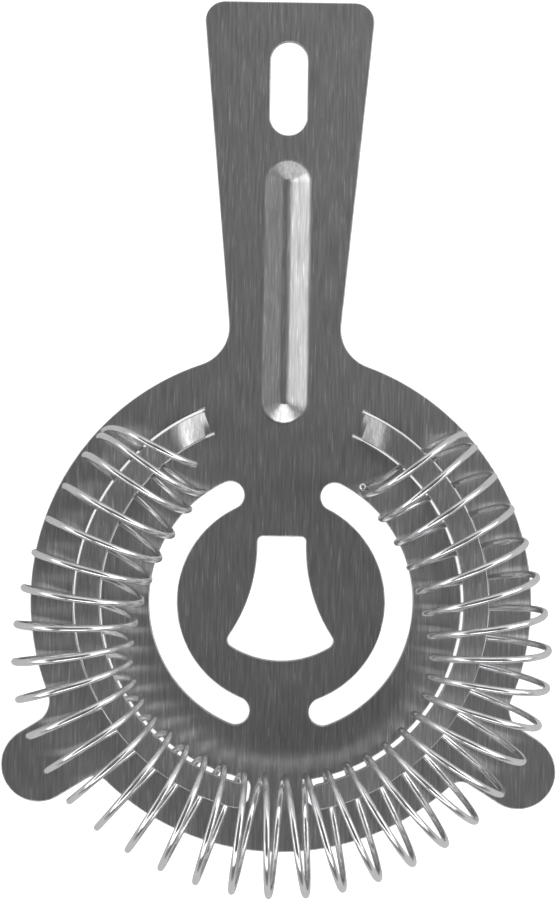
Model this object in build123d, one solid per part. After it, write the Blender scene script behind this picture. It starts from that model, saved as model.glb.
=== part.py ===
from build123d import *

import os
from math import cos, exp, pi, radians, sin, sqrt, tan

# A one-piece hawthorne strainer: a stamped plate, and a coil spring threaded on its two tongues.
# It lies on its back, with +Z up on the spring side and +Y along the handle.
# Everything is built around the middle of the disc, then moved so that the middle of the
# bounding box's bottom face is the origin. Sizes are in millimetres, angles in degrees.

# Plate
SHEET = 1.0
DISC_RADIUS = 42.6
EAR_RADIUS = 6.35
EAR_X = 40.8
EAR_Y = -28.3
EAR_SLOPE = 32.0
EAR_UPPER_FILLET = 4.0
EAR_LOWER_FILLET = 2.5
HANDLE_TOP = 102.0
HANDLE_TOP_HALF_WIDTH = 14.7
HANDLE_NECK_Y = 46.0
HANDLE_NECK_HALF_WIDTH = 9.45
HANDLE_CORNER_RADIUS = 3.3
HANDLE_ROOT_FILLET = 6.8

# Openings in the plate
HANG_SLOT_Y = 87.3
HANG_SLOT_WIDTH = 6.3
HANG_SLOT_LENGTH = 15.9
DRAIN_RADIUS = 20.05
DRAIN_WIDTH = 4.72
DRAIN_TOP_ANGLE = 26.2
DRAIN_BOTTOM_ANGLE = 158.3
BELL_TOP = 11.1
BELL_BOTTOM = -10.05
BELL_NECK_Y = 9.4
BELL_NECK_HALF_WIDTH = 4.12
BELL_SIDE_RADIUS = 27.5
BELL_BASE_RADIUS = 16.0
BELL_TOP_CORNER = 0.9
BELL_BASE_CORNER = 1.3

# Stiffening bead pressed up from the handle
BEAD_START_Y = 30.3
BEAD_END_Y = 75.1
BEAD_WIDTH = 8.0
BEAD_HEIGHT = 1.5
BEAD_SHOULDER_RADIUS = 2.0
BEAD_CREST_RADIUS = 2.6

# Tongues lanced out of the disc. Angles are measured from the handle, round the disc's middle.
WINDOW_INNER_RADIUS = 30.65
WINDOW_OUTER_RADIUS = 35.4
WINDOW_END_ANGLE = 171.6
WINDOW_CORNER_RADIUS = 1.6
TONGUE_WIDTH = 4.25
TONGUE_RADIUS = 32.55
TONGUE_CENTRE_Y = 0.35
TONGUE_ROOT_ANGLE = 22.5
RAMP_END_ANGLE = 36.5
RAMP_ANGLE = 37.0
RAMP_ROOT_RADIUS = 0.7
RAMP_TOP_RADIUS = 8.0
ROOT_OVERLAP = 1.5
TONGUE_START_RISE = 2.6
TONGUE_TIP_RISE = 7.8
TONGUE_TIP_ANGLE = 170.3
TONGUE_CORNER_RADIUS = 1.5

# Spring. Turn angles are measured round the ring of turns from -Y, positive towards -X.
WIRE = 1.1
COIL_CHORD = 19.3
WIDEST_TURN_RADIUS = 9.97
RING_X = 0.25
RING_Y = -3.5
RING_RADIUS = 43.75
REST_GAP = 0.1
ACTIVE_TURNS = 33
FIRST_TURN = 130.3
TURN_PITCH = 8.03
LEFT_CLOSED_TURNS = (137.0, 135.4)
RIGHT_CLOSED_TURNS = (-134.1, -137.5)
TURN_LEAD = 4.0
END_LEAN = 10.5
END_LEAN_START = 108.0
END_LEAN_SPAN = 29.0
END_LEAN_POWER = 1.6
SIDE_LEAN = 3.0
SIDE_LEAN_ANGLE = 90.0
SIDE_LEAN_SPREAD = 18.0
RING_WAVE = 1.37
WAVE_PEAK = 62.0
WAVE_SPREAD = 25.0
WAVE_ZERO = 88.0
WAVE_HALF_LENGTH = 50.0
END_TURN_LEAN = 6.0
LAST_TIP_ANGLE = -151.4
LAST_TIP_RADIUS = 26.8
LAST_TIP_DROP = 1.0
CUT_SHORT = 40.0

# How far apart two points may be and still count as one
TOLERANCE = 0.01


def polar(radius, angle, centre_y=0.0):
    """The point at an angle from the handle, positive towards -X."""
    turn = radians(angle)
    return Vector(-radius * sin(turn), centre_y + radius * cos(turn))


def ear_sketch():
    """A tab with a round end and parallel flanks, sloping down and filleted to the disc on both sides."""
    outward = Vector(1, 0).rotate(Axis.Z, -EAR_SLOPE)
    upward = Vector(0, 1).rotate(Axis.Z, -EAR_SLOPE)
    end = Vector(EAR_X, EAR_Y)
    corners = []
    cutters = []
    for fillet_radius, side in ((EAR_UPPER_FILLET, 1), (EAR_LOWER_FILLET, -1)):
        flank = upward * side
        across = flank.dot(end) + EAR_RADIUS + fillet_radius
        along = sqrt((DISC_RADIUS + fillet_radius) ** 2 - across**2)
        centre = flank * across + outward * along
        corners.append((centre, centre - flank * fillet_radius, end + flank * EAR_RADIUS))
        cutters.append(Pos(centre) * Circle(fillet_radius))
    upper, lower = corners
    tab = make_face(Polyline((0, 0), *lower, *reversed(upper), close=True))
    return tab + Pos(end) * Circle(EAR_RADIUS) - cutters


def handle_sketch():
    """The tapered handle, with its two top corners rounded."""
    slope = (HANDLE_TOP_HALF_WIDTH - HANDLE_NECK_HALF_WIDTH) / (HANDLE_TOP - HANDLE_NECK_Y)
    foot_y = DISC_RADIUS / 2
    foot = HANDLE_NECK_HALF_WIDTH - slope * (HANDLE_NECK_Y - foot_y)
    top = HANDLE_TOP_HALF_WIDTH
    corners = [(-foot, foot_y), (foot, foot_y), (top, HANDLE_TOP), (-top, HANDLE_TOP)]
    sketch = make_face(Polyline(*corners, close=True))
    return fillet(sketch.vertices().sort_by(Axis.Y)[-2:], HANDLE_CORNER_RADIUS)


def outline_sketch():
    """The blank's outline: disc, handle and both ears."""
    body = Circle(DISC_RADIUS) + handle_sketch()
    at_root = [v for v in body.vertices() if v.Y > DISC_RADIUS / 2 and abs(v.X) < 2 * BEAD_WIDTH]
    root = [v for v in at_root if v.Y < HANDLE_NECK_Y]
    body = fillet(root, HANDLE_ROOT_FILLET)
    ear = ear_sketch()
    return body + ear + mirror(ear, Plane.YZ)


def bell_sketch():
    """The bell-shaped hole in the middle of the disc."""
    side_x = BELL_NECK_HALF_WIDTH + BELL_SIDE_RADIUS
    base_y = BELL_BOTTOM + BELL_BASE_RADIUS
    block = Pos(0, (BELL_TOP + BELL_BOTTOM) / 2) * Rectangle(2 * DRAIN_RADIUS, BELL_TOP - BELL_BOTTOM)
    above_base = Pos(0, BELL_TOP) * Rectangle(2 * BELL_TOP, 2 * BELL_TOP)
    sketch = block & (Pos(0, base_y) * Circle(BELL_BASE_RADIUS) + above_base)
    above_neck = Rectangle(2 * BELL_SIDE_RADIUS, 2 * BELL_TOP, align=(Align.MIN, Align.MIN))
    for side in (1, -1):
        sketch -= Pos(side * side_x, BELL_NECK_Y) * Circle(BELL_SIDE_RADIUS)
        cut = Pos(BELL_NECK_HALF_WIDTH, BELL_NECK_Y) * above_neck
        sketch -= cut if side == 1 else mirror(cut, Plane.YZ)
    top = [v for v in sketch.vertices() if v.Y > BELL_TOP - BELL_TOP_CORNER / 2]
    sketch = fillet(top, BELL_TOP_CORNER)
    base = [v for v in sketch.vertices() if v.Y < 0]
    return fillet(base, BELL_BASE_CORNER)


def drain_sketch(side):
    """One curved drain slot beside the bell."""
    start = 90 + side * DRAIN_TOP_ANGLE
    sweep_angle = side * (DRAIN_BOTTOM_ANGLE - DRAIN_TOP_ANGLE)
    return SlotArc(CenterArc((0, 0), DRAIN_RADIUS, start, sweep_angle), DRAIN_WIDTH)


def window_sketch():
    """The opening that a tongue leaves in the disc, on the left side."""
    sweep_angle = WINDOW_END_ANGLE - TONGUE_ROOT_ANGLE
    edges = []
    for radius in (WINDOW_INNER_RADIUS, WINDOW_OUTER_RADIUS):
        edges.append(CenterArc((0, 0), radius, 90 + TONGUE_ROOT_ANGLE, sweep_angle))
    for angle in (TONGUE_ROOT_ANGLE, WINDOW_END_ANGLE):
        edges.append(Line(polar(WINDOW_INNER_RADIUS, angle), polar(WINDOW_OUTER_RADIUS, angle)))
    window = make_face(Wire(edges))
    end_corners = window.vertices().sort_by(Axis.Y)[:2]
    return fillet(end_corners, WINDOW_CORNER_RADIUS)


def bead_section():
    """The bead's roof-shaped section in XY, with the sheet's thickness below it."""
    half = BEAD_WIDTH / 2
    edge = half + SHEET
    left = [(-edge, 0), (-half, 0), (0, BEAD_HEIGHT)]
    right = [(half, 0), (edge, 0), (edge, -SHEET), (-edge, -SHEET)]
    section = make_face(Polyline(*left, *right, close=True))
    crest = section.vertices().sort_by_distance((0, BEAD_HEIGHT))[0]
    section = fillet(crest, BEAD_CREST_RADIUS)
    shoulders = [v for v in section.vertices() if abs(abs(v.X) - half) < TOLERANCE and abs(v.Y) < TOLERANCE]
    return fillet(shoulders, BEAD_SHOULDER_RADIUS)


def bead_form(lift):
    """A long roof-shaped ridge with round ends, standing on the plane at the given height."""
    section = bead_section()
    half_section = section & (Pos(BEAD_WIDTH, 0) * Rectangle(2 * BEAD_WIDTH, 4 * BEAD_WIDTH))
    end_y = BEAD_END_Y - BEAD_WIDTH / 2
    start_y = BEAD_START_Y + BEAD_WIDTH / 2
    middle = extrude(Plane.XZ * section, end_y - start_y, dir=(0, 1, 0))
    cap = revolve(Plane.XZ * half_section, Axis.Z, 360)
    ridge = Pos(0, start_y) * middle + Pos(0, end_y) * cap + Pos(0, start_y) * cap
    return Pos(0, 0, lift) * ridge


def ramp_solid():
    """The bent root of the left tongue, from the flat sheet up to the start of the climb."""
    climb_slope = tongue_slope()
    run = TONGUE_RADIUS * radians(RAMP_END_ANGLE - TONGUE_ROOT_ANGLE)
    turn = radians(RAMP_ANGLE)
    rise = SHEET + TONGUE_START_RISE
    foot = (RAMP_ROOT_RADIUS + SHEET) * tan(turn / 2)
    head = foot + rise / tan(turn)
    top_head = (rise + SHEET - climb_slope * head - SHEET / cos(turn) + foot * tan(turn)) / (
        tan(turn) - climb_slope
    )
    end_rise = rise + climb_slope * (run - head)
    below = [(-ROOT_OVERLAP, 0), (foot, 0), (head, rise), (run, end_rise)]
    above = [
        (run, end_rise + SHEET),
        (top_head, end_rise + SHEET - climb_slope * (run - top_head)),
        (foot - SHEET * tan(turn / 2), SHEET),
        (-ROOT_OVERLAP, SHEET),
    ]
    section = make_face(Polyline(*below, *above, close=True))
    bends = ((above[2], below[1], RAMP_ROOT_RADIUS), (below[2], above[1], RAMP_TOP_RADIUS))
    for inner, outer, radius in bends:
        for point, corner_radius in ((inner, radius), (outer, radius + SHEET)):
            corner = section.vertices().sort_by_distance(point)[0]
            section = fillet(corner, corner_radius)
    start = polar(TONGUE_RADIUS, RAMP_END_ANGLE, TONGUE_CENTRE_Y)
    outward = polar(1, RAMP_END_ANGLE)
    forward = Vector(-outward.Y, outward.X)
    side = Plane(origin=start - forward * run, x_dir=forward, z_dir=Vector(forward.Y, -forward.X))
    return extrude(side * section, TONGUE_WIDTH / 2, both=True)


def tongue_slope():
    """How fast the tongue climbs beyond its ramp."""
    climb = TONGUE_TIP_RISE - TONGUE_START_RISE
    return climb / (TONGUE_RADIUS * radians(TONGUE_TIP_ANGLE - RAMP_END_ANGLE))


def strip_solid():
    """The left tongue beyond its ramp: a strip, level across, that climbs steadily."""
    climb = TONGUE_TIP_RISE - TONGUE_START_RISE
    turn = TONGUE_TIP_ANGLE - RAMP_END_ANGLE
    base = SHEET + TONGUE_START_RISE
    line = Helix(climb * 360 / turn, climb, TONGUE_RADIUS)
    section = Plane((TONGUE_RADIUS, 0, 0), x_dir=(1, 0, 0), z_dir=(0, -1, 0)) * Pos(0, SHEET / 2) * (
        Rectangle(TONGUE_WIDTH, SHEET)
    )
    strip = sweep(section, path=line, is_frenet=True)
    strip = Pos(0, TONGUE_CENTRE_Y, base) * Rot(0, 0, 90 + RAMP_END_ANGLE) * strip
    tip = polar(TONGUE_RADIUS, TONGUE_TIP_ANGLE, TONGUE_CENTRE_Y)
    end_edges = strip.edges().sort_by_distance((tip.X, tip.Y, base + climb + SHEET / 2))
    corners = [e for e in end_edges if abs(e.tangent_at(0.5).Z) > 0.99][:2]
    return fillet(corners, TONGUE_CORNER_RADIUS)


def plate_solid():
    """The stamped plate, with its bead and tongues formed."""
    sketch = outline_sketch() - bell_sketch()
    sketch -= Pos(0, HANG_SLOT_Y) * SlotOverall(HANG_SLOT_LENGTH, HANG_SLOT_WIDTH, rotation=90)
    for side in (1, -1):
        sketch -= drain_sketch(side)
    window = window_sketch()
    sketch -= window
    sketch -= mirror(window, Plane.YZ)
    plate = extrude(sketch, SHEET)
    plate = plate + bead_form(SHEET) - bead_form(0)
    tongue = ramp_solid() + strip_solid()
    return plate + tongue + mirror(tongue, Plane.YZ)


def outer_turn_angles():
    """Where each turn's outermost point lies, from the left end of the spring to the right."""
    active = [FIRST_TURN - TURN_PITCH * i for i in range(ACTIVE_TURNS)]
    return [*LEFT_CLOSED_TURNS, *active, *RIGHT_CLOSED_TURNS]


def ring_wave(angle):
    """How far the ring of turns strays from a true circle."""
    away = abs(angle)
    if away < WAVE_PEAK:
        return RING_WAVE * exp(-(((WAVE_PEAK - away) / WAVE_SPREAD) ** 2))
    return RING_WAVE * sin(pi * (WAVE_ZERO - away) / WAVE_HALF_LENGTH)


def inner_turn_angle(angle):
    """Where a turn's innermost point lies: turns lean more towards the ends of the spring."""
    side = 1 if angle > 0 else -1
    away = abs(angle)
    lean = END_LEAN * max(0, (away - END_LEAN_START) / END_LEAN_SPAN) ** END_LEAN_POWER
    lean -= SIDE_LEAN * exp(-(((away - SIDE_LEAN_ANGLE) / SIDE_LEAN_SPREAD) ** 2))
    return angle + TURN_LEAD + side * lean


def ring_point(radius, angle):
    """A point level with the middle of the coil, by its place on the ring."""
    turn = radians(angle)
    height = SHEET + REST_GAP + WIDEST_TURN_RADIUS + WIRE / 2
    return Vector(RING_X - radius * sin(turn), RING_Y - radius * cos(turn), height)


def turn_tips():
    """The outer and inner tips of every turn, in order along the wire."""
    outer_angles = outer_turn_angles()
    inner_angles = [inner_turn_angle(angle) for angle in outer_angles]
    inner_angles[0] += END_TURN_LEAN
    inner_angles[-1] -= END_TURN_LEAN
    outer = []
    inner = []
    for outer_angle, inner_angle in zip(outer_angles, inner_angles):
        radius = RING_RADIUS + ring_wave(outer_angle)
        lean = radians(inner_angle - outer_angle)
        inner_radius = radius * cos(lean) - sqrt(COIL_CHORD**2 - (radius * sin(lean)) ** 2)
        outer.append(ring_point(radius, outer_angle))
        inner.append(ring_point(inner_radius, inner_angle))
    inner.append(ring_point(LAST_TIP_RADIUS, LAST_TIP_ANGLE) - Vector(0, 0, LAST_TIP_DROP))
    return outer, inner


def half_turn(start, end, side):
    """Half a turn of wire in an upright plane, over the tongue or under it."""
    top = (start + end) / 2 + Vector(0, 0, side * (end - start).length / 2)
    return ThreePointArc(start, top, end)


def spring_solid():
    """The coil spring, one wire from its cut left end to its cut right end."""
    outer, inner = turn_tips()
    pieces = []
    for index, tip in enumerate(outer):
        pieces.append(half_turn(inner[index], tip, 1))
        pieces.append(half_turn(tip, inner[index + 1], -1))
    pieces[0] = pieces[0].trim(CUT_SHORT / 180, 1)
    path = Wire(pieces)
    start = Plane(origin=path @ 0, z_dir=path % 0)
    return sweep(start * Circle(WIRE / 2), path=path)


def main():
    """Builds both pieces, stands them on the origin and writes one STEP file for each."""
    nodes = {"strainer_plate": plate_solid(), "coil_spring": spring_solid()}
    box = Compound(list(nodes.values())).bounding_box()
    to_origin = Pos(-box.center().X, -box.center().Y, -box.min.Z)
    os.makedirs("parts", exist_ok=True)
    for name, shape in nodes.items():
        solid = to_origin * shape.solids()[0]
        export_step(solid, f"parts/{name}.step")


main()
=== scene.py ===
from math import asin, atan, atan2, ceil, cos, degrees, exp, pi, radians, sin, sqrt, tan

import bpy
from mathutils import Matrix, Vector
from mathutils.geometry import delaunay_2d_cdt


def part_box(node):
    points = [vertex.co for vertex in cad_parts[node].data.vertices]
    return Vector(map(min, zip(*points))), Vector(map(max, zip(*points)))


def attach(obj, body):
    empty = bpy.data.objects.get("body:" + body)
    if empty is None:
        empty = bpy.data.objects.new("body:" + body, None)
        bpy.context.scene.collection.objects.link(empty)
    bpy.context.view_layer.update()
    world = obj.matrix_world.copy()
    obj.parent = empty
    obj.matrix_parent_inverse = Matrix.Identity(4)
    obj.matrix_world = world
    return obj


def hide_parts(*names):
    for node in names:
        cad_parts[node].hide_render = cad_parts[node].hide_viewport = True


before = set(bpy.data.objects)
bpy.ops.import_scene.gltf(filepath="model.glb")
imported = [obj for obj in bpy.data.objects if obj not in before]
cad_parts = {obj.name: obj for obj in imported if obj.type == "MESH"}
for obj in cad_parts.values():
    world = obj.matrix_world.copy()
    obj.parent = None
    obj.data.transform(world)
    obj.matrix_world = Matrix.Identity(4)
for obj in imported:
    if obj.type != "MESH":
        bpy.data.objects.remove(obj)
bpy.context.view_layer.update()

# A one-piece hawthorne strainer: a stamped, brushed plate and a bright coil spring on its two tongues.
# Shapes are worked out in millimetres round the middle of the disc, with +Y along the handle and +Z up
# on the spring side, and then put in the frame, which is in metres. Angles are in degrees.
MM = 0.001

# Plate
SHEET = 1.0
EDGE_ROUNDING = 0.2
DISC_RADIUS = 42.6
EAR_RADIUS = 6.35
EAR_X = 40.8
EAR_Y = -28.3
EAR_SLOPE = 32.0
EAR_UPPER_FILLET = 4.0
EAR_LOWER_FILLET = 2.5
HANDLE_TOP = 102.0
HANDLE_TOP_HALF_WIDTH = 14.7
HANDLE_NECK_Y = 46.0
HANDLE_NECK_HALF_WIDTH = 9.45
HANDLE_CORNER_RADIUS = 3.3
HANDLE_ROOT_FILLET = 6.8

# Openings in the plate
HANG_SLOT_Y = 87.3
HANG_SLOT_WIDTH = 6.3
HANG_SLOT_LENGTH = 15.9
DRAIN_RADIUS = 20.05
DRAIN_WIDTH = 4.72
DRAIN_TOP_ANGLE = 26.2
DRAIN_BOTTOM_ANGLE = 158.3
BELL_TOP = 11.1
BELL_BOTTOM = -10.05
BELL_NECK_Y = 9.4
BELL_NECK_HALF_WIDTH = 4.12
BELL_SIDE_RADIUS = 27.5
BELL_BASE_RADIUS = 16.0
BELL_TOP_CORNER = 0.9
BELL_BASE_CORNER = 1.3

# Stiffening bead pressed up from the handle
BEAD_START_Y = 30.3
BEAD_END_Y = 75.1
BEAD_WIDTH = 8.0
BEAD_HEIGHT = 1.5
BEAD_SHOULDER_RADIUS = 2.0
BEAD_CREST_RADIUS = 2.6

# Tongues lanced out of the disc. Their angles are measured from the handle, round the disc's middle.
WINDOW_INNER_RADIUS = 30.65
WINDOW_OUTER_RADIUS = 35.4
WINDOW_MIDDLE_RADIUS = (WINDOW_INNER_RADIUS + WINDOW_OUTER_RADIUS) / 2
WINDOW_END_ANGLE = 171.6
WINDOW_CORNER_RADIUS = 1.6
TONGUE_WIDTH = 4.25
TONGUE_RADIUS = 32.55
TONGUE_CENTRE_Y = 0.35
TONGUE_SWAY = 0.12
TONGUE_ROOT_ANGLE = 22.5
RAMP_END_ANGLE = 36.5
RAMP_ANGLE = 37.0
RAMP_ROOT_RADIUS = 1.2
RAMP_TOP_RADIUS = 8.5
RAMP_TWIST = 3.0
TONGUE_SHIFT_SPAN = 1.2
TONGUE_START_RISE = 2.6
TONGUE_TIP_RISE = 7.8
TONGUE_TIP_ANGLE = 170.3
TONGUE_CORNER_RADIUS = 1.5

# Spring. Turn angles are measured round the ring of turns from -Y, positive towards -X.
WIRE = 1.1
COIL_CHORD = 19.3
WIDEST_TURN_RADIUS = 9.97
RING_X = 0.25
RING_Y = -3.5
RING_RADIUS = 43.75
REST_GAP = 0.1
ACTIVE_TURNS = 33
FIRST_TURN = 130.3
TURN_PITCH = 8.03
LEFT_CLOSED_TURNS = (137.0, 135.4)
RIGHT_CLOSED_TURNS = (-134.1, -137.5)
TURN_LEAD = 4.0
END_LEAN = 10.5
END_LEAN_START = 108.0
END_LEAN_SPAN = 29.0
END_LEAN_POWER = 1.6
SIDE_LEAN = 3.0
SIDE_LEAN_ANGLE = 90.0
SIDE_LEAN_SPREAD = 18.0
RING_WAVE = 1.37
WAVE_PEAK = 62.0
WAVE_SPREAD = 25.0
WAVE_ZERO = 88.0
WAVE_HALF_LENGTH = 50.0
END_TURN_LEAN = 6.0
LAST_TIP_ANGLE = -151.4
LAST_TIP_RADIUS = 26.8
LAST_TIP_DROP = 1.0
CUT_SHORT = 40.0
CUT_CHAMFER = 0.12

# How finely the meshes are divided, and how near two points count as one
STEP = 0.45
RAMP_STEP = STEP / 3
TONGUE_STEP = 2 * STEP
STRAIGHT_STEP = 3 * STEP
SAME_PLACE = STEP / 100
SAME_CORNER = 1e-6
LONGEST_TURN_STEP = 10.0
CORNER_STEPS = 9
ROUNDING_STEPS = 4
BEAD_SHOULDER_STEPS = 6
BEAD_SLOPE_STEPS = 14
BEAD_CREST_STEPS = 5
BEAD_END_STEPS = 40
WIRE_SIDES = 20
HALF_TURN_STEPS = 26
FACING_STEP = 0.01

# Noise mostly lies between these two values
NOISE_LOW = 0.3
NOISE_HIGH = 0.7

# The plate's finish: brushed along Y, with marks whose fineness is per metre along X, Y and Z
PLATE_ANISOTROPY = 0.88
PLATE_ROUGHNESS = 0.275
BRUSHING_FINENESS = (3000, 170, 3000)
BRUSHING_DETAIL = 3.0
BRUSHING_GREYS = (0.375, 0.575)
BRUSHING_BUMP = 0.05
BRUSHING_DEPTH = 0.01 * MM
SCRATCH_FINENESS = (4600, 230, 4600)
SCRATCH_DETAIL = 2.0
SCRATCH_GREYS = (0.0, 0.3)
SCRATCH_START = 0.58
SCRATCH_FULL = 0.76

# The wire's finish: drawing marks, with their fineness both ways across the wire and along it
WIRE_COLOUR = (0.74, 0.74, 0.75, 1)
WIRE_ROUGHNESS = (0.11, 0.19)
DRAWING_FINENESS = (3.5, 3.5, 0.12)
DRAWING_DETAIL = 3.0
DRAWING_BUMP = 0.8
DRAWING_DEPTH = 0.02 * MM

# The sky: its darkest direction, overhead and leaning to the object's foot, and how bright it is by the
# cosine of the angle from there. A slightly brighter ring goes round the darkest part.
DARKEST_WAY = (0.08, -0.33, 0.94)
SKY = (
    (0.0, 0.75),
    (0.3, 0.42),
    (0.55, 0.21),
    (0.86, 0.166),
    (0.885, 0.215),
    (0.91, 0.15),
    (0.96, 0.11),
    (1.0, 0.068),
)

# Softboxes: name, place and size in metres, and power in watts
PANELS = (
    ("right_panel", (0.51, 0.08, 0.355), (0.55, 0.44), 1.4),
    ("left_panel", (-0.53, 0.05, 0.25), (0.55, 0.22), 0.45),
    ("top_panel", (0.0, 0.50, 0.42), (0.40, 0.25), 0.25),
    ("bottom_panel", (-0.03, -0.45, 0.48), (0.50, 0.28), 1.1),
    ("lower_right_panel", (0.36, -0.36, 0.40), (0.40, 0.26), 0.4),
    ("lower_left_panel", (-0.44, -0.27, 0.32), (0.40, 0.22), 0.45),
    ("upper_right_panel", (0.36, 0.36, 0.42), (0.40, 0.25), 0.3),
)

# The floor: its size and how far it lies under the object, in metres, and its look
FLOOR_HALF_WIDTH = 4.0
FLOOR_DROP = 0.02 * MM
FLOOR_GREY = 0.7
FLOOR_ROUGHNESS = 0.9
FLOOR_GLOW = 0.04
FLOOR_WHITENESS = 0.8

# The camera: its place and its nearest distance in metres, and its lens and sensor in millimetres
CAMERA_PLACE = (-0.9 * MM, -1.3 * MM, 321 * MM)
CAMERA_TURN = 0.92
CAMERA_LENS = 75.3
CAMERA_SENSOR = 36.0
CAMERA_NEAREST = 0.01

# The disc's middle, in the frame: the handle's top edge is the plate's highest Y.
disc_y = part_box("strainer_plate")[1].y - HANDLE_TOP * MM


def placed(point):
    """A point worked out round the disc's middle, in millimetres, as it lies in the frame."""
    return Vector((point[0] * MM, point[1] * MM + disc_y, point[2] * MM))


def polar(radius, angle, centre_y=0.0):
    """The point at an angle from the handle, positive towards -X."""
    turn = radians(angle)
    return Vector((-radius * sin(turn), centre_y + radius * cos(turn)))


def bearing(vector):
    """A vector's direction in degrees from +X."""
    return degrees(atan2(vector.y, vector.x))


def arc(centre, radius, start, end, side=1):
    """Points from one bearing to another, anticlockwise for side 1 and clockwise for side -1."""
    sweep = side * ((side * (end - start)) % 360)
    count = max(2, ceil(abs(radians(sweep)) * radius / STEP), ceil(abs(sweep) / LONGEST_TURN_STEP))
    turns = [radians(start + sweep * i / count) for i in range(count + 1)]
    return [Vector((centre.x + radius * cos(t), centre.y + radius * sin(t))) for t in turns]


def meeting(first, first_radius, second, second_radius, side):
    """Where two circles cross, to the left of the line between their centres for side 1."""
    gap = second - first
    along = (gap.length_squared + first_radius**2 - second_radius**2) / (2 * gap.length)
    across = side * sqrt(first_radius**2 - along**2)
    return first + gap.normalized() * along + Vector((-gap.y, gap.x)).normalized() * across


def joined(*runs):
    """Runs of points one after another, with no point twice in a row."""
    points = [point for run in runs for point in run]
    following = points[1:] + points[:1]
    return [p for p, after in zip(points, following) if (p - after).length > SAME_PLACE]


def mirrored(points):
    """The same line on the other side of the handle, still with the metal on its left."""
    return [Vector((-p.x, p.y)) for p in reversed(points)]


def ear_edge():
    """The right ear's edge, fillets and all, and the bearings where it leaves and rejoins the disc."""
    end = Vector((EAR_X, EAR_Y))
    turn = radians(EAR_SLOPE)
    outward = Vector((cos(turn), -sin(turn)))
    upward = Vector((sin(turn), cos(turn)))
    centres = []
    for fillet_radius, flank in ((EAR_LOWER_FILLET, -upward), (EAR_UPPER_FILLET, upward)):
        across = flank.dot(end) + EAR_RADIUS + fillet_radius
        along = sqrt((DISC_RADIUS + fillet_radius) ** 2 - across**2)
        centres.append(flank * across + outward * along)
    lower, upper = centres
    edge = joined(
        arc(lower, EAR_LOWER_FILLET, bearing(-lower), bearing(upward), -1),
        straight(lower + upward * EAR_LOWER_FILLET, end - upward * EAR_RADIUS),
        arc(end, EAR_RADIUS, bearing(-upward), bearing(upward)),
        straight(end + upward * EAR_RADIUS, upper - upward * EAR_UPPER_FILLET),
        arc(upper, EAR_UPPER_FILLET, bearing(-upward), bearing(-upper), -1),
    )
    return edge, bearing(lower), bearing(upper)


def outline_edge():
    """The plate's outer edge: disc, handle and ears."""
    middle = Vector((0, 0))
    taper = atan((HANDLE_TOP_HALF_WIDTH - HANDLE_NECK_HALF_WIDTH) / (HANDLE_TOP - HANDLE_NECK_Y))
    outward = Vector((cos(taper), -sin(taper)))
    upward = Vector((sin(taper), cos(taper)))
    neck = Vector((HANDLE_NECK_HALF_WIDTH, HANDLE_NECK_Y))
    across = neck.dot(outward) + HANDLE_ROOT_FILLET
    root = outward * across + upward * sqrt((DISC_RADIUS + HANDLE_ROOT_FILLET) ** 2 - across**2)
    corner_y = HANDLE_TOP - HANDLE_CORNER_RADIUS
    side_x = HANDLE_NECK_HALF_WIDTH + tan(taper) * (corner_y - HANDLE_NECK_Y)
    corner = Vector((side_x - HANDLE_CORNER_RADIUS / cos(taper), corner_y))
    side = bearing(outward)
    ear, ear_start, ear_end = ear_edge()
    right = joined(
        arc(middle, DISC_RADIUS, -90, ear_start),
        ear,
        arc(middle, DISC_RADIUS, ear_end, bearing(root)),
        arc(root, HANDLE_ROOT_FILLET, bearing(-root), side + 180, -1),
        arc(corner, HANDLE_CORNER_RADIUS, side, 90),
    )
    return joined(right, mirrored(right))


def bell_edge():
    """The bell-shaped hole's edge."""
    base = Vector((0, BELL_BOTTOM + BELL_BASE_RADIUS))
    side = Vector((BELL_NECK_HALF_WIDTH + BELL_SIDE_RADIUS, BELL_NECK_Y))
    corner = meeting(
        base, BELL_BASE_RADIUS - BELL_BASE_CORNER, side, BELL_SIDE_RADIUS + BELL_BASE_CORNER, -1
    )
    top = Vector((BELL_NECK_HALF_WIDTH - BELL_TOP_CORNER, BELL_TOP - BELL_TOP_CORNER))
    right = joined(
        arc(top, BELL_TOP_CORNER, 90, 0, -1),
        arc(side, BELL_SIDE_RADIUS, 180, bearing(corner - side)),
        arc(corner, BELL_BASE_CORNER, bearing(side - corner), bearing(corner - base), -1),
        arc(base, BELL_BASE_RADIUS, bearing(corner - base), -90, -1),
    )
    return joined(right, mirrored(right))


def drain_edge():
    """The edge of the curved drain slot on the left."""
    half = DRAIN_WIDTH / 2
    top = 90 + DRAIN_TOP_ANGLE
    bottom = 90 + DRAIN_BOTTOM_ANGLE
    middle = Vector((0, 0))
    return joined(
        arc(middle, DRAIN_RADIUS + half, bottom, top, -1),
        arc(polar(DRAIN_RADIUS, DRAIN_TOP_ANGLE), half, top, top + 180, -1),
        arc(middle, DRAIN_RADIUS - half, top, bottom),
        arc(polar(DRAIN_RADIUS, DRAIN_BOTTOM_ANGLE), half, bottom + 180, bottom, -1),
    )


def hang_slot_edge():
    """The edge of the hanging slot in the handle."""
    half = HANG_SLOT_WIDTH / 2
    reach = Vector((0, HANG_SLOT_LENGTH / 2 - half))
    middle = Vector((0, HANG_SLOT_Y))
    return joined(arc(middle + reach, half, 180, 0, -1), arc(middle - reach, half, 0, 180, -1))


def tongue_stations(end):
    """Angles from the root along a tongue, close together where it is bent."""
    ramp = RAMP_END_ANGLE - TONGUE_ROOT_ANGLE
    level = end - RAMP_END_ANGLE
    ramp_count = ceil(ramp / degrees(RAMP_STEP / TONGUE_RADIUS))
    level_count = ceil(level / degrees(TONGUE_STEP / TONGUE_RADIUS))
    on_ramp = [TONGUE_ROOT_ANGLE + ramp * i / ramp_count for i in range(ramp_count)]
    return on_ramp + [RAMP_END_ANGLE + level * i / level_count for i in range(level_count + 1)]


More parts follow.
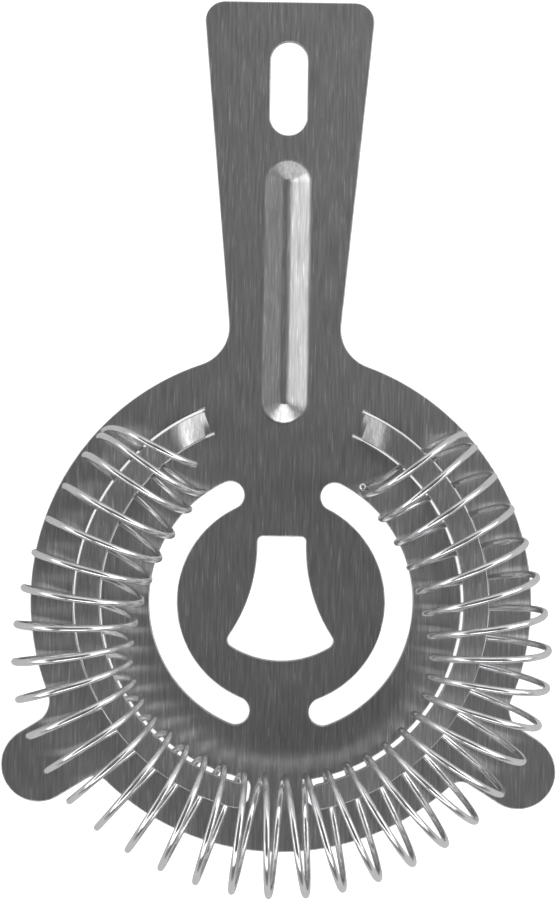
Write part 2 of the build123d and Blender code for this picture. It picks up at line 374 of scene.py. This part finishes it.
def strip_edge(inner, outer, tip_angle, corner):
    """A curved strip's edge on the left side, down its outer side and back up its inner side, and how many
    points it has on each side before its rounded tip."""
    corner_turn = degrees(2 * corner / (inner + outer))
    angles = tongue_stations(tip_angle - corner_turn)
    turns = [radians(90 * i / CORNER_STEPS) for i in range(1, CORNER_STEPS + 1)]
    rounding = [(corner * (1 - cos(t)), tip_angle - corner_turn * (1 - sin(t))) for t in turns]
    side = [(0.0, angle) for angle in angles] + rounding
    down = [polar(outer - inset, angle) for inset, angle in side]
    up = [polar(inner + inset, angle) for inset, angle in reversed(side)]
    return down + up, len(angles)


def lance_edge():
    """The edge of the slit that frees the left tongue, how many of its points are on the tongue, and which
    of those face each other across it."""
    half = TONGUE_WIDTH / 2
    tongue, count = strip_edge(
        WINDOW_MIDDLE_RADIUS - half, WINDOW_MIDDLE_RADIUS + half, TONGUE_TIP_ANGLE, TONGUE_CORNER_RADIUS
    )
    window, _ = strip_edge(
        WINDOW_INNER_RADIUS, WINDOW_OUTER_RADIUS, WINDOW_END_ANGLE, WINDOW_CORNER_RADIUS
    )
    pairs = [(i, len(tongue) - 1 - i) for i in range(count)]
    return tongue + window[::-1], len(tongue), pairs


def bead_bends():
    """The slope of the bead's sides, half the width of its crest, and the reach of its shoulders."""
    slope = atan(2 * BEAD_HEIGHT / BEAD_WIDTH)
    return slope, BEAD_CREST_RADIUS * sin(slope), BEAD_SHOULDER_RADIUS * tan(slope / 2)


def bead_height(distance):
    """How high the bead stands above the sheet, by the distance from its spine."""
    slope, crest, shoulder = bead_bends()
    edge = BEAD_WIDTH / 2
    if distance < crest:
        top = BEAD_HEIGHT - BEAD_CREST_RADIUS / cos(slope)
        return top + sqrt(BEAD_CREST_RADIUS**2 - distance**2)
    if distance < edge - shoulder * cos(slope):
        return BEAD_HEIGHT - distance * tan(slope)
    if distance < edge + shoulder:
        return BEAD_SHOULDER_RADIUS - sqrt(BEAD_SHOULDER_RADIUS**2 - (edge + shoulder - distance) ** 2)
    return 0.0


def bead_rings():
    """Rings of points round the bead's spine, from the flat sheet in to its crest, and its spine."""
    _, crest, shoulder = bead_bends()
    half = BEAD_WIDTH / 2
    reach = half + shoulder
    slope_width = half - shoulder - crest
    outer = [reach - 2 * shoulder * i / BEAD_SHOULDER_STEPS for i in range(BEAD_SHOULDER_STEPS + 1)]
    slopes = [half - shoulder - slope_width * i / BEAD_SLOPE_STEPS for i in range(1, BEAD_SLOPE_STEPS)]
    inner = [crest * (1 - i / BEAD_CREST_STEPS) for i in range(BEAD_CREST_STEPS)]
    high = Vector((0, BEAD_END_Y - half))
    low = Vector((0, BEAD_START_Y + half))
    turns = [radians(180 * i / BEAD_END_STEPS) for i in range(BEAD_END_STEPS + 1)]
    rings = []
    for distance in outer + slopes + inner:
        top = [high + distance * Vector((cos(t), sin(t))) for t in turns]
        bottom = [low - distance * Vector((cos(t), sin(t))) for t in turns]
        rings.append(joined(top, straight(top[-1], bottom[0]), bottom, straight(bottom[-1], top[0])))
    return rings, straight(high, low, True)


def straight(start, end, closed=False):
    """Evenly spaced points between two points, and the two points too if it is closed."""
    count = ceil((end - start).length / STRAIGHT_STEP)
    inside = [start.lerp(end, i / count) for i in range(1, count)]
    return [start, *inside, end] if closed else inside


def climb(run):
    """A tongue's mid-height and slope at a distance along the level from its root."""
    rate = (TONGUE_TIP_RISE - TONGUE_START_RISE) / (
        TONGUE_RADIUS * radians(TONGUE_TIP_ANGLE - RAMP_END_ANGLE)
    )
    steep = radians(RAMP_ANGLE)
    gentle = atan(rate)
    bend_run = RAMP_ROOT_RADIUS * sin(steep)
    bend_rise = RAMP_ROOT_RADIUS * (1 - cos(steep))
    end = TONGUE_RADIUS * radians(RAMP_END_ANGLE - TONGUE_ROOT_ANGLE)
    end_height = SHEET + TONGUE_START_RISE + SHEET / 2
    corner = (end_height - rate * end - SHEET / 2 - bend_rise + tan(steep) * bend_run) / (
        tan(steep) - rate
    )
    reach = RAMP_TOP_RADIUS * tan((steep - gentle) / 2)
    if run < 0:
        return SHEET / 2, 0.0
    if run < bend_run:
        rise = RAMP_ROOT_RADIUS - sqrt(RAMP_ROOT_RADIUS**2 - run**2)
        return SHEET / 2 + rise, asin(run / RAMP_ROOT_RADIUS)
    if run < corner - reach * cos(steep):
        return SHEET / 2 + bend_rise + tan(steep) * (run - bend_run), steep
    if run < corner + reach * cos(gentle):
        over = corner + reach * cos(gentle) + RAMP_TOP_RADIUS * sin(gentle) - run
        top = end_height + rate * (corner + reach * cos(gentle) - end) - RAMP_TOP_RADIUS * cos(gentle)
        return top + sqrt(RAMP_TOP_RADIUS**2 - over**2), asin(over / RAMP_TOP_RADIUS)
    return end_height + rate * (run - end), gentle


def ramp_start(radius):
    """The angle where a tongue starts to rise: later towards the disc's middle, which twists the ramp."""
    share = (WINDOW_OUTER_RADIUS - radius) / (WINDOW_OUTER_RADIUS - WINDOW_INNER_RADIUS)
    return TONGUE_ROOT_ANGLE + RAMP_TWIST * share


def formed(flat, depth, lifted):
    """Where a point of the flat blank ends up. Depth is its height above the middle of the sheet, and
    lifted says whether it is on a tongue."""
    if not lifted:
        spine_y = min(max(flat.y, BEAD_START_Y + BEAD_WIDTH / 2), BEAD_END_Y - BEAD_WIDTH / 2)
        height = SHEET / 2 + bead_height((flat - Vector((0, spine_y))).length)
        return Vector((flat.x, flat.y, height + depth))
    radius = flat.length
    angle = degrees(atan2(abs(flat.x), flat.y))
    start = ramp_start(radius)
    climbed = (angle - start) / (RAMP_END_ANGLE - start)
    ramp = RAMP_END_ANGLE - TONGUE_ROOT_ANGLE
    run = climbed * ramp if climbed < 1 else angle - TONGUE_ROOT_ANGLE
    height, slope = climb(TONGUE_RADIUS * radians(run))
    shifted = min(1, max(0, (angle - start) / TONGUE_SHIFT_SPAN))
    shifted *= shifted * (3 - 2 * shifted)
    angle -= degrees(depth * sin(slope) / TONGUE_RADIUS)
    radius += shifted * (TONGUE_RADIUS - WINDOW_MIDDLE_RADIUS)
    point = polar(radius, angle, shifted * TONGUE_CENTRE_Y)
    side = 1 if flat.x < 0 else -1
    return Vector((side * point.x + shifted * TONGUE_SWAY, point.y, height + depth * cos(slope)))


def facing(flat, lifted):
    """The direction that the blank's upper face has, once formed, at a point of the flat blank."""
    across = Vector((FACING_STEP, 0))
    along = Vector((0, FACING_STEP))
    first = formed(flat + across, 0, lifted) - formed(flat - across, 0, lifted)
    second = formed(flat + along, 0, lifted) - formed(flat - along, 0, lifted)
    return first.cross(second).normalized()


def moved_out(loop, distance):
    """A closed line moved away from the metal on its left."""
    result = []
    for before, point, after in zip(loop[-1:] + loop[:-1], loop, loop[1:] + loop[:1]):
        first = Vector((point.y - before.y, before.x - point.x)).normalized()
        second = Vector((after.y - point.y, point.x - after.x)).normalized()
        middle = (first + second).normalized()
        result.append(point + middle * distance / middle.dot(first))
    return result


def new_object(name, vertices, faces):
    """An object with a smooth-shaded mesh, its vertices given in millimetres round the disc's middle."""
    mesh = bpy.data.meshes.new(name)
    mesh.from_pydata([placed(v) for v in vertices], [], faces)
    mesh.shade_smooth()
    thing = bpy.data.objects.new(name, mesh)
    bpy.context.scene.collection.objects.link(thing)
    return thing


def inside(point, loop):
    """Whether a point lies inside a closed line."""
    crossings = 0
    for a, b in zip(loop, loop[1:] + loop[:1]):
        if (a.y > point.y) != (b.y > point.y):
            crossings += point.x < a.x + (point.y - a.y) / (b.y - a.y) * (b.x - a.x)
    return crossings % 2 == 1


def blank_lines(rims, pairs):
    """The flat blank's points, the lines between them, and where each rim's points start. The last two rims
    are the tongues' slits, and pairs are the points of a slit that face each other across its tongue."""
    rings, spine = bead_rings()
    points = []
    lines = []
    starts = []
    for ring in rims + rings:
        numbers = [len(points) + i for i in range(len(ring))]
        starts.append(len(points))
        points += ring
        lines += zip(numbers, numbers[1:] + numbers[:1])
    left, right = starts[len(rims) - 2 : len(rims)]
    right_end = right + len(rims[-1]) - 1
    for a, b in pairs:
        lines.append((left + a, left + b))
        lines.append((right_end - a, right_end - b))
    lines += [(len(points) + i, len(points) + i + 1) for i in range(len(spine) - 1)]
    return points + spine, lines, starts[: len(rims)]


def on_metal(triangles, flat, rims):
    """The triangles that lie inside the blank's outline and in none of its openings."""
    kept = []
    for triangle in triangles:
        centre = sum((flat[i] for i in triangle), Vector((0, 0))) / 3
        if inside(centre, rims[0]) and not any(inside(centre, rim) for rim in rims[1:]):
            kept.append(tuple(triangle))
    return kept


def rounded_edge(rim, edge, lifted, vertices, facings):
    """Adds the rings of points round a sheared edge, from the upper face to the lower one."""
    turns = [90 * (i + 1) / ROUNDING_STEPS for i in range(ROUNDING_STEPS)]
    rings = []
    for turn, side in [(turn, 1) for turn in turns] + [(turn, -1) for turn in reversed(turns)]:
        reach = sin(radians(turn))
        depth = side * (SHEET / 2 - EDGE_ROUNDING * (1 - cos(radians(turn))))
        rings.append([len(vertices) + i for i in range(len(rim))])
        for inner, outer, high in zip(rim, edge, lifted):
            place = inner.lerp(outer, reach)
            vertices.append(formed(place, depth, high))
            out = (formed(outer, depth, high) - formed(inner, depth, high)).normalized()
            facings.append(out * reach + side * facing(inner, high) * cos(radians(turn)))
    return rings


def make_plate():
    """The plate as one closed mesh: its upper face, its lower face and the rounded edges between them."""
    lance, tongue_size, pairs = lance_edge()
    drain = drain_edge()
    edges = [outline_edge(), bell_edge(), hang_slot_edge(), drain, mirrored(drain), lance, mirrored(lance)]
    rims = [moved_out(edge, -EDGE_ROUNDING) for edge in edges]
    points, lines, starts = blank_lines(rims, pairs)
    flat, _, triangles, _, _, _ = delaunay_2d_cdt(points, lines, [], 0, SAME_CORNER)
    left, right = starts[-2:]
    lifted = [False] * len(flat)
    for i in range(tongue_size):
        lifted[left + i] = True
        lifted[right + len(lance) - 1 - i] = True
    below = len(flat)
    upper = on_metal(triangles, flat, rims)
    faces = upper + [tuple(below + i for i in reversed(face)) for face in upper]
    half = SHEET / 2
    upward = [facing(p, high) for p, high in zip(flat, lifted)]
    vertices = [formed(p, depth, high) for depth in (half, -half) for p, high in zip(flat, lifted)]
    facings = upward + [-direction for direction in upward]
    for rim, edge, start in zip(rims, edges, starts):
        numbers = [start + i for i in range(len(rim))]
        high = lifted[start : start + len(rim)]
        rings = [numbers, *rounded_edge(rim, edge, high, vertices, facings), [below + i for i in numbers]]
        for ring, following in zip(rings, rings[1:]):
            for i, j in zip(range(len(rim)), [*range(1, len(rim)), 0]):
                faces.append((ring[i], following[i], following[j], ring[j]))
    plate = new_object("plate", vertices, faces)
    plate.data.normals_split_custom_set_from_vertices(facings)
    return plate


def outer_turn_angles():
    """Where each turn's outermost point lies, from the left end of the spring to the right."""
    active = [FIRST_TURN - TURN_PITCH * i for i in range(ACTIVE_TURNS)]
    return [*LEFT_CLOSED_TURNS, *active, *RIGHT_CLOSED_TURNS]


def ring_wave(angle):
    """How far the ring of turns strays from a true circle."""
    away = abs(angle)
    if away < WAVE_PEAK:
        return RING_WAVE * exp(-(((WAVE_PEAK - away) / WAVE_SPREAD) ** 2))
    return RING_WAVE * sin(pi * (WAVE_ZERO - away) / WAVE_HALF_LENGTH)


def inner_turn_angle(angle):
    """Where a turn's innermost point lies: turns lean more towards the ends of the spring."""
    side = 1 if angle > 0 else -1
    away = abs(angle)
    lean = END_LEAN * max(0, (away - END_LEAN_START) / END_LEAN_SPAN) ** END_LEAN_POWER
    lean -= SIDE_LEAN * exp(-(((away - SIDE_LEAN_ANGLE) / SIDE_LEAN_SPREAD) ** 2))
    return angle + TURN_LEAD + side * lean


def ring_point(radius, angle):
    """A point level with the middle of the coil, by its place on the ring."""
    turn = radians(angle)
    height = SHEET + REST_GAP + WIDEST_TURN_RADIUS + WIRE / 2
    return Vector((RING_X - radius * sin(turn), RING_Y - radius * cos(turn), height))


def turn_tips():
    """The outer and inner tips of every turn, in order along the wire."""
    outer_angles = outer_turn_angles()
    inner_angles = [inner_turn_angle(angle) for angle in outer_angles]
    inner_angles[0] += END_TURN_LEAN
    inner_angles[-1] -= END_TURN_LEAN
    outer = []
    inner = []
    for outer_angle, inner_angle in zip(outer_angles, inner_angles):
        radius = RING_RADIUS + ring_wave(outer_angle)
        lean = radians(inner_angle - outer_angle)
        inner_radius = radius * cos(lean) - sqrt(COIL_CHORD**2 - (radius * sin(lean)) ** 2)
        outer.append(ring_point(radius, outer_angle))
        inner.append(ring_point(inner_radius, inner_angle))
    inner.append(ring_point(LAST_TIP_RADIUS, LAST_TIP_ANGLE) - Vector((0, 0, LAST_TIP_DROP)))
    return outer, inner


def half_turn(start, end, side, first=0.0):
    """Points along half a turn of wire, over the tongue or under it, without its last point.
    The wire moves on round the ring evenly as it turns."""
    middle = (start + end) / 2
    outward = Vector((middle.x - RING_X, middle.y - RING_Y, 0)).normalized()
    across = outward * (end - start).dot(outward)
    onward = end - start - across
    height = Vector((0, 0, side * (end - start).length / 2))
    points = []
    for i in range(HALF_TURN_STEPS):
        t = radians(first + (180 - first) * i / HALF_TURN_STEPS)
        points.append(start + across * (1 - cos(t)) / 2 + onward * t / pi + height * sin(t))
    return points


def wire_line():
    """Points along the whole spring."""
    outer, inner = turn_tips()
    line = []
    for index, tip in enumerate(outer):
        line += half_turn(inner[index], tip, 1, CUT_SHORT if index == 0 else 0.0)
        line += half_turn(tip, inner[index + 1], -1)
    return line + [inner[-1]]


def wire_stations(line):
    """Where the wire has rings of points: their places, headings and radii, smaller at its dressed ends."""
    headings = [(b - a).normalized() for a, b in zip(line[:1] + line[:-1], line[1:] + line[-1:])]
    start, first = line[0], headings[0]
    end, last = line[-1], headings[-1]
    full = WIRE / 2
    dressed = full - CUT_CHAMFER
    return [
        (start, first, dressed),
        (start + first * CUT_CHAMFER, first, full),
        *[(point, heading, full) for point, heading in zip(line[1:-1], headings[1:-1])],
        (end - last * CUT_CHAMFER, last, full),
        (end, last, dressed),
    ]


def wire_faces(count):
    """The faces between a number of rings of points, and the two flat ends."""
    faces = []
    for start in range(0, (count - 1) * WIRE_SIDES, WIRE_SIDES):
        for i in range(WIRE_SIDES):
            j = (i + 1) % WIRE_SIDES
            faces.append((start + i, start + j, start + WIRE_SIDES + j, start + WIRE_SIDES + i))
    faces.append(tuple(reversed(range(WIRE_SIDES))))
    faces.append(tuple(range((count - 1) * WIRE_SIDES, count * WIRE_SIDES)))
    return faces


def make_spring():
    """The coil spring: a round wire whose points know where they are round it and how far along it."""
    stations = wire_stations(wire_line())
    before, heading, _ = stations[0]
    side = heading.orthogonal()
    vertices = []
    drawn = []
    along = 0.0
    for point, heading, radius in stations:
        along += (point - before).length
        before = point
        side = (side - heading * side.dot(heading)).normalized()
        up = heading.cross(side)
        for i in range(WIRE_SIDES):
            turn = 2 * pi * i / WIRE_SIDES
            vertices.append(point + (side * cos(turn) + up * sin(turn)) * radius)
            drawn.append((cos(turn), sin(turn), along))
    wire = new_object("coil_wire", vertices, wire_faces(len(stations)))
    marks = wire.data.attributes.new("drawn", "FLOAT_VECTOR", "POINT")
    for item, place in zip(marks.data, drawn):
        item.vector = place
    return wire


def new_material(name):
    """A new material, its nodes, its links and the shader that is its finish."""
    material = bpy.data.materials.new(name)
    material.use_nodes = True
    nodes = material.node_tree.nodes
    return material, nodes, material.node_tree.links, nodes["Principled BSDF"]


def stretched_noise(nodes, links, place, scale, detail):
    """Noise drawn out one way, as brushing or wire drawing leaves it: scale is its fineness each way."""
    mapping = nodes.new("ShaderNodeMapping")
    mapping.inputs["Scale"].default_value = scale
    noise = nodes.new("ShaderNodeTexNoise")
    noise.inputs["Scale"].default_value = 1.0
    noise.inputs["Detail"].default_value = detail
    links.new(place, mapping.inputs["Vector"])
    links.new(mapping.outputs["Vector"], noise.inputs["Vector"])
    return noise.outputs["Fac"]


def ranged(nodes, links, value, low, high, start=NOISE_LOW, end=NOISE_HIGH):
    """A value between start and end stretched to a new range."""
    spread = nodes.new("ShaderNodeMapRange")
    spread.inputs["From Min"].default_value = start
    spread.inputs["From Max"].default_value = end
    spread.inputs["To Min"].default_value = low
    spread.inputs["To Max"].default_value = high
    links.new(value, spread.inputs["Value"])
    return spread.outputs["Result"]


def bumped(nodes, links, finish, height, strength, depth):
    """Gives a finish the fine relief of a height between 0 and 1, depth metres deep."""
    bump = nodes.new("ShaderNodeBump")
    bump.inputs["Strength"].default_value = strength
    bump.inputs["Distance"].default_value = depth
    links.new(height, bump.inputs["Height"])
    links.new(bump.outputs["Normal"], finish.inputs["Normal"])


def brushed_steel():
    """Stainless sheet, brushed along the handle, with a few lighter scratches."""
    material, nodes, links, finish = new_material("brushed_plate")
    finish.inputs["Metallic"].default_value = 1.0
    finish.inputs["Anisotropic"].default_value = PLATE_ANISOTROPY
    finish.inputs["Roughness"].default_value = PLATE_ROUGHNESS
    tangent = nodes.new("ShaderNodeTangent")
    tangent.direction_type = "UV_MAP"
    tangent.uv_map = "brushing"
    links.new(tangent.outputs["Tangent"], finish.inputs["Tangent"])
    place = nodes.new("ShaderNodeTexCoord").outputs["Object"]
    fine = stretched_noise(nodes, links, place, BRUSHING_FINENESS, BRUSHING_DETAIL)
    scratches = stretched_noise(nodes, links, place, SCRATCH_FINENESS, SCRATCH_DETAIL)
    total = nodes.new("ShaderNodeMath")
    links.new(ranged(nodes, links, fine, *BRUSHING_GREYS), total.inputs[0])
    light = ranged(nodes, links, scratches, *SCRATCH_GREYS, SCRATCH_START, SCRATCH_FULL)
    links.new(light, total.inputs[1])
    colour = nodes.new("ShaderNodeCombineColor")
    for channel in colour.inputs:
        links.new(total.outputs["Value"], channel)
    links.new(colour.outputs["Color"], finish.inputs["Base Color"])
    bumped(nodes, links, finish, fine, BRUSHING_BUMP, BRUSHING_DEPTH)
    return material


def bright_wire():
    """Polished spring wire, with faint drawing marks along it."""
    material, nodes, links, finish = new_material("spring_wire")
    finish.inputs["Metallic"].default_value = 1.0
    finish.inputs["Base Color"].default_value = WIRE_COLOUR
    place = nodes.new("ShaderNodeAttribute")
    place.attribute_name = "drawn"
    marks = stretched_noise(nodes, links, place.outputs["Vector"], DRAWING_FINENESS, DRAWING_DETAIL)
    links.new(ranged(nodes, links, marks, *WIRE_ROUGHNESS), finish.inputs["Roughness"])
    bumped(nodes, links, finish, marks, DRAWING_BUMP, DRAWING_DEPTH)
    return material


def brushing_map(plate):
    """A UV map whose U runs along X, so that reflections are drawn out across the brushing."""
    mesh = plate.data
    layer = mesh.uv_layers.new(name="brushing")
    for loop in mesh.loops:
        point = mesh.vertices[loop.vertex_index].co
        layer.data[loop.index].uv = (point.x / MM, point.y / MM)


def floor_material():
    """A plain pale surface that looks white itself and throws back a softer light."""
    material, nodes, links, finish = new_material("pale_floor")
    finish.inputs["Base Color"].default_value = (FLOOR_GREY, FLOOR_GREY, FLOOR_GREY, 1)
    finish.inputs["Roughness"].default_value = FLOOR_ROUGHNESS
    glow = nodes.new("ShaderNodeEmission")
    path = nodes.new("ShaderNodeLightPath")
    both = nodes.new("ShaderNodeAddShader")
    seen = nodes.new("ShaderNodeMath")
    seen.operation = "MULTIPLY_ADD"
    seen.inputs[1].default_value = FLOOR_WHITENESS
    seen.inputs[2].default_value = FLOOR_GLOW
    links.new(path.outputs["Is Camera Ray"], seen.inputs[0])
    links.new(seen.outputs["Value"], glow.inputs["Strength"])
    links.new(finish.outputs["BSDF"], both.inputs[0])
    links.new(glow.outputs["Emission"], both.inputs[1])
    links.new(both.outputs["Shader"], nodes["Material Output"].inputs["Surface"])
    return material


def make_floor():
    """A wide pale floor under the object."""
    half = FLOOR_HALF_WIDTH
    mesh = bpy.data.meshes.new("floor")
    corners = [(-half, -half), (half, -half), (half, half), (-half, half)]
    mesh.from_pydata([(x, y, -FLOOR_DROP) for x, y in corners], [], [(0, 1, 2, 3)])
    mesh.materials.append(floor_material())
    floor = bpy.data.objects.new("floor", mesh)
    bpy.context.scene.collection.objects.link(floor)


def make_panel(name, place, size, power):
    """A rectangular softbox that faces the object."""
    light = bpy.data.lights.new(name, "AREA")
    light.shape = "RECTANGLE"
    light.size, light.size_y = size
    light.energy = power
    lamp = bpy.data.objects.new(name, light)
    lamp.location = place
    lamp.rotation_mode = "QUATERNION"
    lamp.rotation_quaternion = Vector(place).to_track_quat("Z", "Y")
    bpy.context.scene.collection.objects.link(lamp)


def make_sky():
    """Soft grey light from all round, darkest overhead and a little towards the foot of the object,
    with a white backdrop behind everything."""
    world = bpy.data.worlds.new("studio")
    bpy.context.scene.world = world
    world.use_nodes = True
    nodes, links = world.node_tree.nodes, world.node_tree.links
    place = nodes.new("ShaderNodeTexCoord")
    height = nodes.new("ShaderNodeVectorMath")
    height.operation = "DOT_PRODUCT"
    height.inputs[1].default_value = DARKEST_WAY
    ramp = nodes.new("ShaderNodeValToRGB")
    links.new(place.outputs["Generated"], height.inputs[0])
    links.new(height.outputs["Value"], ramp.inputs["Fac"])
    stops = ramp.color_ramp.elements
    stops[0].position, stops[1].position = SKY[0][0], SKY[-1][0]
    for position, _ in SKY[1:-1]:
        stops.new(position)
    for stop, (_, grey) in zip(stops, SKY):
        stop.color = (grey, grey, grey, 1)
    path = nodes.new("ShaderNodeLightPath")
    backdrop = nodes.new("ShaderNodeMix")
    backdrop.data_type = "RGBA"
    links.new(path.outputs["Is Camera Ray"], backdrop.inputs["Factor"])
    links.new(ramp.outputs["Color"], backdrop.inputs["A"])
    backdrop.inputs["B"].default_value = (1, 1, 1, 1)
    links.new(backdrop.outputs["Result"], nodes["Background"].inputs["Color"])


def make_camera():
    """Straight above the object, turned a little so that the handle leans to the right."""
    camera = bpy.data.objects.new("camera", bpy.data.cameras.new("camera"))
    camera.location = CAMERA_PLACE
    camera.rotation_euler = (0, 0, radians(CAMERA_TURN))
    camera.data.lens = CAMERA_LENS
    camera.data.sensor_width = CAMERA_SENSOR
    camera.data.clip_start = CAMERA_NEAREST
    bpy.context.scene.collection.objects.link(camera)
    bpy.context.scene.camera = camera


make_camera()
make_sky()
make_floor()
for panel in PANELS:
    make_panel(*panel)

plate = make_plate()
brushing_map(plate)
plate.data.materials.append(brushed_steel())
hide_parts("strainer_plate")
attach(plate, "plate")

spring = make_spring()
spring.data.materials.append(bright_wire())
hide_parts("coil_spring")
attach(spring, "spring")

bpy.context.scene.view_settings.view_transform = "Standard"
